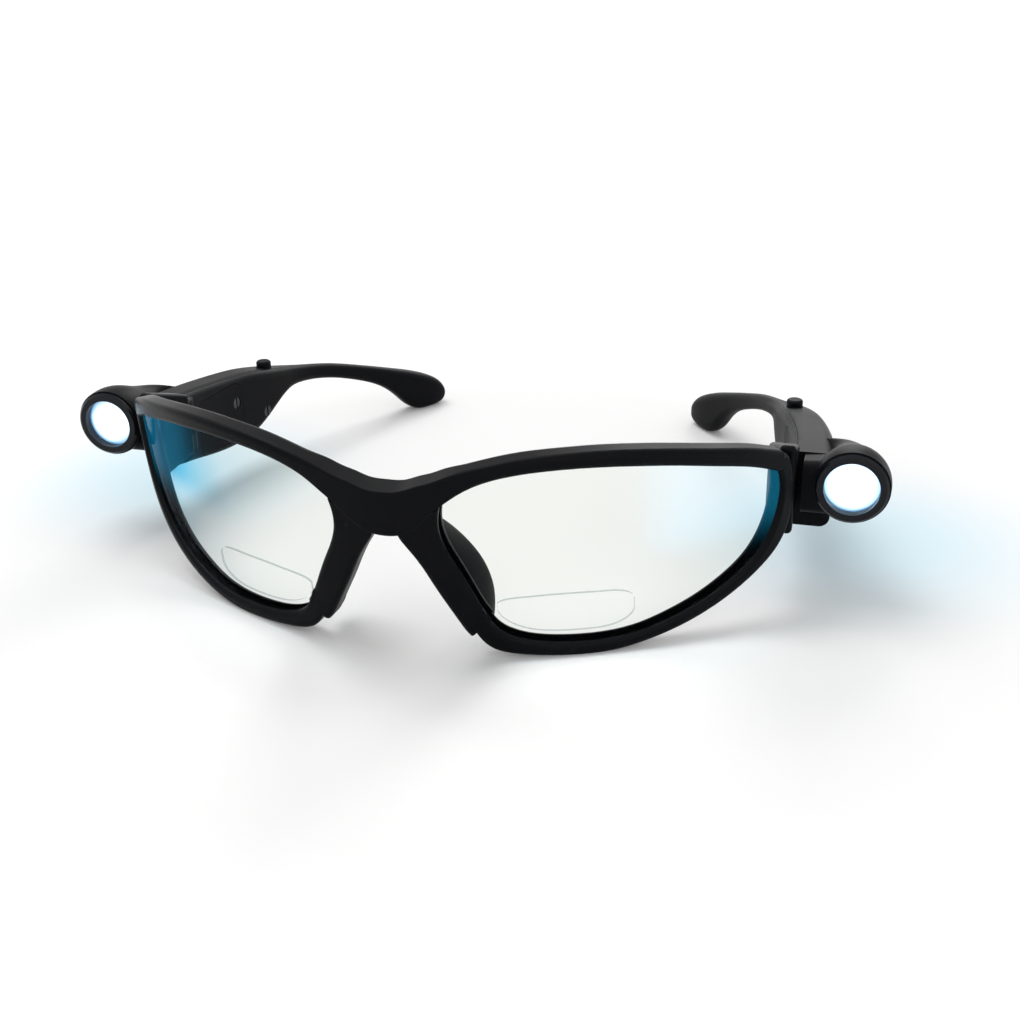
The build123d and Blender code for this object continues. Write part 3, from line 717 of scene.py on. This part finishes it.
def makeLedFrame(form, side):
    low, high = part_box(side + "_led")
    centre = (low + high) / 2
    front = low.y + form["behindTip"]
    bm = bmesh.new()
    # a small cup with a dish sunk in the face that looks forward
    turn = Matrix.Rotation(math.radians(90), 4, "X")
    bmesh.ops.create_cone(
        bm, cap_ends=True, segments=form["cupSides"], radius1=form["cupFootRadius"],
        radius2=form["cupRadius"], depth=form["cupDepth"],
        matrix=Matrix.Translation((centre.x, front, centre.z)) @ turn,
    )
    ends = [face for face in bm.faces if len(face.verts) == form["cupSides"]]
    mouth = [end for end in ends if end.calc_center_median().y < front]
    bmesh.ops.inset_region(bm, faces=mouth, thickness=form["dishRim"], depth=-form["dishDepth"])
    # its post, and the thinner one beside it
    for across, width in form["posts"]:
        middle = (centre.x + across, front + form["postLength"] / 2, centre.z)
        size = Matrix.Diagonal((width, form["postLength"], form["postThickness"], 1))
        bmesh.ops.create_cube(bm, size=1.0, matrix=Matrix.Translation(middle) @ size)
    body = side + "_temple"
    piece = finishPiece(bm, side + "_led_frame", finishes["reflector"], body, smooth=False)


for side in sides:
    makeLedFrame(cupForm, side)
print("lamp details made")


# Studio: a white floor, soft lamps and the photograph's camera

studio = {
    "floorColour": (0.9, 0.9, 0.895),
    "floorRoughness": 0.7,
    "floorShine": 0.2,
    "floorSize": 6.0,
    "floorLift": 0.07,  # the floor's own light near the object, which rises to 1 far away
    "nearRadius": 0.085,
    "farRadius": 0.5,
    # the colour of the painted pool of lamp light
    "poolColour": (0.72, 0.89, 0.965),
    "poolX": 0.083,
    "poolY": 0.004,
    "poolRadius": 0.056,
    "worldColour": (1.0, 1.0, 1.0),
    "worldStrength": 0.5,
}


def makeFloor():
    bm = bmesh.new()
    bmesh.ops.create_grid(bm, x_segments=1, y_segments=1, size=studio["floorSize"])
    mesh = meshFrom(bm, "studioFloor")
    floor = addObject("studioFloor", mesh)
    material, tree, shader, where = newMaterial("floorWhite", studio["floorColour"])
    # a painted pool: the lamps' cool light lies as a pale blue pool beside each temple, in the
    # floor's colour and its own light
    fromPool = distanceFrom(tree, where, studio["poolX"], "Y", studio["poolY"])
    pool = smoothStep(tree, fromPool, studio["poolRadius"], 0.0)  # 0 at the rim, 1 in the middle
    cool = rgba(studio["poolColour"])
    # away from the object the floor runs into the white of the backdrop
    away = vectorNode(tree, "LENGTH", where, result="Value")
    lift = addNode(tree, "ShaderNodeMapRange", {
        "Value": away,
        "From Min": studio["nearRadius"],
        "From Max": studio["farRadius"],
        "To Min": studio["floorLift"],
        "To Max": 1.0,
    }).outputs["Result"]
    setInputs(tree, shader, {
        "Base Color": mixColour(tree, pool, rgba(studio["floorColour"]), cool),
        "Emission Color": mixColour(tree, pool, rgba(studio["worldColour"]), cool),
        "Emission Strength": mathNode(tree, "MULTIPLY", seenDirectly(tree), lift),
        "Roughness": studio["floorRoughness"],
        "Specular IOR Level": studio["floorShine"],
    })
    mesh.materials.append(material)


def makeWorld():
    world = bpy.data.worlds.new("studioWorld")
    bpy.context.scene.world = world
    world.use_nodes = True
    tree = world.node_tree
    seen = seenDirectly(tree)
    unseen = mathNode(tree, "SUBTRACT", 1.0, seen)
    dimmed = mathNode(tree, "MULTIPLY", unseen, studio["worldStrength"])
    setInputs(tree, tree.nodes["Background"], {
        "Color": rgba(studio["worldColour"]),
        "Strength": mathNode(tree, "ADD", seen, dimmed),
    })


lamps = {
    "keyAbove": {"at": (-0.25, 0.1, 0.75), "aim": (0.0, 0.0, 0.02), "size": 0.5, "power": 2.5},
    "fillFront": {"at": (0.55, -0.8, 0.6), "aim": (0.0, -0.02, 0.02), "size": 0.8, "power": 1.4},
    "rimBack": {"at": (0.0, 0.8, 0.45), "aim": (0.0, 0.0, 0.03), "size": 0.4, "power": 1.7},
}


def makeLamp(name, look):
    light = bpy.data.lights.new(name, "AREA")
    light.shape = "SQUARE"
    light.size = look["size"]
    light.energy = look["power"]
    lamp = addObject(name, light)
    lamp.location = look["at"]
    towards = Vector(look["aim"]) - Vector(look["at"])
    lamp.rotation_euler = towards.to_track_quat("-Z", "Y").to_euler()


# where it stands, and its own three axes
camera = {
    "at": (0.0825, -0.277471, 0.1295),
    "right": (0.9636, 0.2669, -0.0167),
    "up": (-0.0941, 0.3968, 0.9131),
    "back": (0.2503, -0.8782, 0.4075),
    "lens": 48.406,
    "sensorWidth": 36.0,
    "clipStart": 0.01,
}


def makeCamera():
    data = bpy.data.cameras.new("photoCamera")
    data.lens = camera["lens"]
    data.sensor_width = camera["sensorWidth"]
    data.clip_start = camera["clipStart"]
    holder = addObject("photoCamera", data)
    turn = Matrix((camera["right"], camera["up"], camera["back"])).transposed()
    squared = turn.to_quaternion().to_matrix().to_4x4()
    holder.matrix_world = Matrix.Translation(camera["at"]) @ squared
    bpy.context.scene.camera = holder


makeFloor()
makeWorld()
for name, look in lamps.items():
    makeLamp(name, look)
makeCamera()
bpy.context.scene.view_settings.view_transform = "Standard"
print("studio ready")
